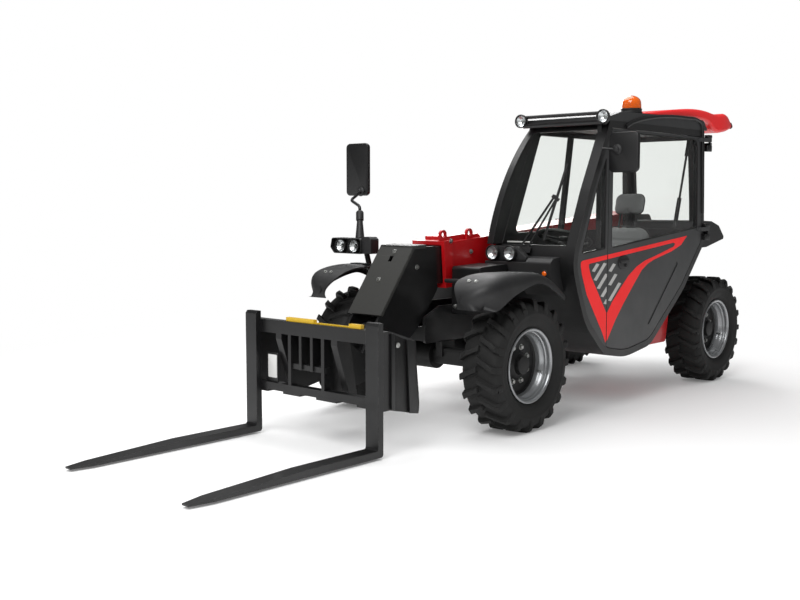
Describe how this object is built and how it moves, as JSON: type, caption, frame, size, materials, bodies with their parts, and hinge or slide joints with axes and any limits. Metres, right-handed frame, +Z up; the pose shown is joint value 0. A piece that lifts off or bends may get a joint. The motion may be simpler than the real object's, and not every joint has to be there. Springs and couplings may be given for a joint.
{
  "type": "compact telehandler",
  "caption": "Compact telehandler with a side cab, a telescopic boom, a tilting pallet-fork carriage and four steered wheels.",
  "frame": {"origin": "on the ground under the centre of the machine's bounding box", "axes": "+Z up, -Y the way the machine faces, +X its left side, where the cab and its door are"},
  "size_m": [1.88, 5.17, 2.028],
  "materials": {
    "red_paint": "gloss",
    "dark_paint": "satin",
    "black_paint": "satin",
    "yellow_paint": "satin",
    "silver_paint": "satin",
    "cast_iron": "matte",
    "tyre_rubber": "matte",
    "moulded_plastic": "satin",
    "tinted_glass": "gloss",
    "amber_plastic": "gloss",
    "seat_fabric": "matte",
    "chrome_rod": "polished"
  },
  "bodies": {
    "chassis": {"frame": "black_paint", "counterweight": "cast_iron", "front_axle": "black_paint", "rear_axle": "black_paint", "engine_block": "cast_iron", "engine_bay": "black_paint", "cab_frame": "dark_paint", "windscreen": "tinted_glass", "roof": "moulded_plastic", "roof_tail": "red_paint", "beacon": "amber_plastic", "seat": "seat_fabric", "quarter_panel": "dark_paint", "quarter_glass": "tinted_glass", "side_window": "tinted_glass", "rear_screen": "tinted_glass", "tail_lamp": "moulded_plastic", "steering": "moulded_plastic", "front_box": "moulded_plastic", "cowl": "moulded_plastic", "headlamp_left": "moulded_plastic", "headlamp_right": "moulded_plastic", "wiper": "black_paint", "side_panel": "red_paint", "light_bar": "black_paint", "front_fender_left": "moulded_plastic", "front_fender_right": "moulded_plastic", "rear_cover_left": "moulded_plastic", "rear_cover_right": "moulded_plastic", "mirror_left": "moulded_plastic", "mirror_right": "moulded_plastic"},
    "knuckle_front_left": {"knuckle_front_left": "cast_iron"},
    "wheel_front_left": {"rim_front_left": "silver_paint", "tyre_front_left": "tyre_rubber"},
    "knuckle_front_right": {"knuckle_front_right": "cast_iron"},
    "wheel_front_right": {"rim_front_right": "silver_paint", "tyre_front_right": "tyre_rubber"},
    "knuckle_rear_left": {"knuckle_rear_left": "cast_iron"},
    "wheel_rear_left": {"rim_rear_left": "silver_paint", "tyre_rear_left": "tyre_rubber"},
    "knuckle_rear_right": {"knuckle_rear_right": "cast_iron"},
    "wheel_rear_right": {"rim_rear_right": "silver_paint", "tyre_rear_right": "tyre_rubber"},
    "door": {"door": "dark_paint", "door_glass": "tinted_glass", "door_handle": "moulded_plastic"},
    "hood": {"hood": "moulded_plastic"},
    "boom": {"boom_outer": "red_paint"},
    "boom_extension": {"boom_inner": "red_paint", "boom_head": "dark_paint"},
    "carriage": {"carriage": "black_paint", "tines": "black_paint", "locking_lever": "yellow_paint"},
    "lift_barrel": {"lift_barrel": "black_paint"},
    "lift_rod": {"lift_rod": "chrome_rod"},
    "tilt_barrel": {"tilt_barrel": "black_paint"},
    "tilt_rod": {"tilt_rod": "chrome_rod"}
  },
  "joints": [
    {"name": "steer_front_left", "type": "hinge", "parent": "chassis", "child": "knuckle_front_left", "pos_m": [0.43, -0.325, 0.388], "axis": [0, 0, 1], "range_deg": [-35, 35]},
    {"name": "spin_front_left", "type": "hinge", "parent": "knuckle_front_left", "child": "wheel_front_left", "pos_m": [0.608, -0.325, 0.388], "axis": [1, 0, 0], "continuous": true},
    {"name": "steer_front_right", "type": "hinge", "parent": "chassis", "child": "knuckle_front_right", "pos_m": [-0.43, -0.325, 0.388], "axis": [0, 0, 1], "range_deg": [-35, 35]},
    {"name": "spin_front_right", "type": "hinge", "parent": "knuckle_front_right", "child": "wheel_front_right", "pos_m": [-0.608, -0.325, 0.388], "axis": [1, 0, 0], "continuous": true},
    {"name": "steer_rear_left", "type": "hinge", "parent": "chassis", "child": "knuckle_rear_left", "pos_m": [0.43, 2.065, 0.388], "axis": [0, 0, 1], "range_deg": [-35, 35]},
    {"name": "spin_rear_left", "type": "hinge", "parent": "knuckle_rear_left", "child": "wheel_rear_left", "pos_m": [0.608, 2.065, 0.388], "axis": [1, 0, 0], "continuous": true},
    {"name": "steer_rear_right", "type": "hinge", "parent": "chassis", "child": "knuckle_rear_right", "pos_m": [-0.43, 2.065, 0.388], "axis": [0, 0, 1], "range_deg": [-35, 35]},
    {"name": "spin_rear_right", "type": "hinge", "parent": "knuckle_rear_right", "child": "wheel_rear_right", "pos_m": [-0.608, 2.065, 0.388], "axis": [1, 0, 0], "continuous": true},
    {"name": "boom_lift", "type": "hinge", "parent": "chassis", "child": "boom", "pos_m": [-0.06, 2.075, 1.13], "axis": [-1, 0, 0], "range_deg": [0, 60]},
    {"name": "boom_telescope", "type": "slide", "parent": "boom", "child": "boom_extension", "axis": [0, -0.9971, -0.0767], "range_m": [0, 1.5]},
    {"name": "carriage_tilt", "type": "hinge", "parent": "boom_extension", "child": "carriage", "pos_m": [-0.06, -1.015, 0.385], "axis": [1, 0, 0], "range_deg": [-15, 100]},
    {"name": "lift_barrel_swing", "type": "hinge", "parent": "chassis", "child": "lift_barrel", "pos_m": [-0.06, 1.575, 0.42], "axis": [-1, 0, 0], "range_deg": [-1, 55.6]},
    {"name": "lift_rod_slide", "type": "slide", "parent": "lift_barrel", "child": "lift_rod", "axis": [0, -0.9379, 0.347], "range_m": [-0.005, 0.8637]},
    {"name": "tilt_barrel_swing", "type": "hinge", "parent": "boom_extension", "child": "tilt_barrel", "pos_m": [-0.06, -0.485, 0.76], "axis": [1, 0, 0], "range_deg": [-2.08, 8.18]},
    {"name": "tilt_rod_slide", "type": "slide", "parent": "tilt_barrel", "child": "tilt_rod", "axis": [0, -0.9142, -0.4053], "range_m": [-0.0402, 0.2393]},
    {"name": "door_hinge", "type": "hinge", "parent": "chassis", "child": "door", "pos_m": [0.712, 1.89, 1.128], "axis": [0, 0, 1], "range_deg": [0, 95]},
    {"name": "hood_hinge", "type": "hinge", "parent": "chassis", "child": "hood", "pos_m": [-0.225, 0.905, 0.981], "axis": [0, 1, 0], "range_deg": [0, 60]}
  ],
  "couplings": [
    {"joint": "steer_front_right", "follows": "steer_front_left", "ratio": 1},
    {"joint": "steer_rear_right", "follows": "steer_rear_left", "ratio": 1},
    {"joint": "lift_barrel_swing", "follows": "boom_lift", "ratio": 0.91},
    {"joint": "lift_rod_slide", "follows": "boom_lift", "m_per_rad": 0.82},
    {"joint": "tilt_barrel_swing", "follows": "carriage_tilt", "ratio": 0.07183},
    {"joint": "tilt_rod_slide", "follows": "carriage_tilt", "m_per_rad": 0.13427}
  ]
}
